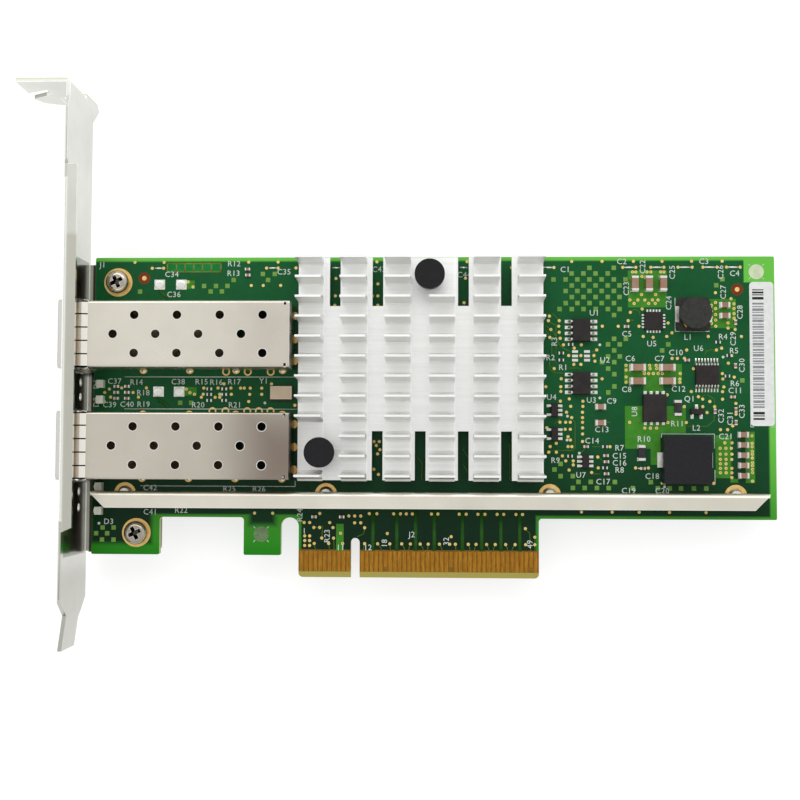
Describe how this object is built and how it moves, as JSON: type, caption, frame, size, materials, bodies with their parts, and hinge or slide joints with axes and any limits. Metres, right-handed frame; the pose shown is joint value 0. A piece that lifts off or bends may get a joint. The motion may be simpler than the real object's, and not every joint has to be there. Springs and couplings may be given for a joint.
{
  "type": "network interface card",
  "caption": "Full-height server network card with two pluggable-module ports, finned heat sink, stiffener bar and eight-lane edge connector.",
  "frame": {"origin": "centreline of the key notch, on the lower edge of the contact tongue, half way through the board", "axes": "+X along the card away from the bracket, +Y away from the edge connector, +Z out of the component side"},
  "size_m": [0.1607, 0.12, 0.0228],
  "materials": {
    "bar_tin": "tin-plated steel",
    "board_laminate": "green solder mask, satin gloss",
    "bracket_nickel": "nickel-plated steel sheet",
    "cage_nickel": "nickel-plated copper alloy",
    "capacitor_tan": "ceramic, satin",
    "chip_end_tin": "tinned",
    "collar_copper": "spring copper alloy, plated",
    "connector_black": "moulded resin",
    "contact_gold": "gold plate, worn satin",
    "ferrite_grey": "ferrite, matt",
    "heat_sink_aluminium": "bare extruded aluminium",
    "label_paper": "coated paper",
    "lamp_clear": "clear resin",
    "lead_tin": "tinned",
    "lid_nickel": "nickel plate",
    "package_black": "moulding compound",
    "pad_gold": "gold plate, matt",
    "pin_nylon": "black nylon",
    "resistor_black": "glaze over ceramic",
    "screw_zinc": "bright zinc",
    "spring_steel": "bare wire",
    "substrate_laminate": "matt laminate",
    "thermal_pad_grey": "soft, matt",
    "tinned_land": "tinned, slightly dull",
    "tub_ceramic": "fired ceramic"
  },
  "bodies": {
    "root": {"bracket_screws": "screw_zinc", "buffer_chip_body": "package_black", "buffer_chip_leads": "lead_tin", "circuit_board": "board_laminate", "clock_chip_body": "package_black", "clock_chip_pads": "lead_tin", "controller_lid": "lid_nickel", "controller_substrate": "substrate_laminate", "crystal_base": "tub_ceramic", "crystal_lid": "lid_nickel", "edge_contacts_back": "contact_gold", "edge_contacts_front": "contact_gold", "gold_pads": "pad_gold", "heat_sink": "heat_sink_aluminium", "label": "label_paper", "large_capacitor_bodies": "capacitor_tan", "large_capacitor_ends": "chip_end_tin", "medium_capacitor_bodies": "capacitor_tan", "medium_capacitor_ends": "chip_end_tin", "memory_chip_bodies": "package_black", "memory_chip_leads": "lead_tin", "mounting_bracket": "bracket_nickel", "port_1_cage_cover": "cage_nickel", "port_1_cage_floor": "cage_nickel", "port_1_connector_contacts": "contact_gold", "port_1_connector_housing": "connector_black", "port_1_spring_collar": "collar_copper", "port_2_cage_cover": "cage_nickel", "port_2_cage_floor": "cage_nickel", "port_2_connector_contacts": "contact_gold", "port_2_connector_housing": "connector_black", "port_2_spring_collar": "collar_copper", "power_transistor_body": "package_black", "power_transistor_leads": "lead_tin", "push_pin_lower": "pin_nylon", "push_pin_spring_lower": "spring_steel", "push_pin_spring_upper": "spring_steel", "push_pin_upper": "pin_nylon", "regulator_bodies": "package_black", "regulator_leads": "lead_tin", "round_inductor_base": "ferrite_grey", "round_inductor_core": "ferrite_grey", "round_inductor_terminals": "lead_tin", "sense_resistor_bodies": "resistor_black", "sense_resistor_ends": "chip_end_tin", "small_capacitor_bodies": "capacitor_tan", "small_capacitor_ends": "chip_end_tin", "small_resistor_bodies": "resistor_black", "small_resistor_ends": "chip_end_tin", "small_transistor_body": "package_black", "small_transistor_leads": "lead_tin", "solder_pads": "tinned_land", "solder_side_capacitors": "capacitor_tan", "square_inductor_body": "ferrite_grey", "square_inductor_terminals": "lead_tin", "status_lights": "lamp_clear", "stiffener_bar": "bar_tin", "stiffener_solder": "tinned_land", "thermal_pad": "thermal_pad_grey"}
  },
  "joints": []
}
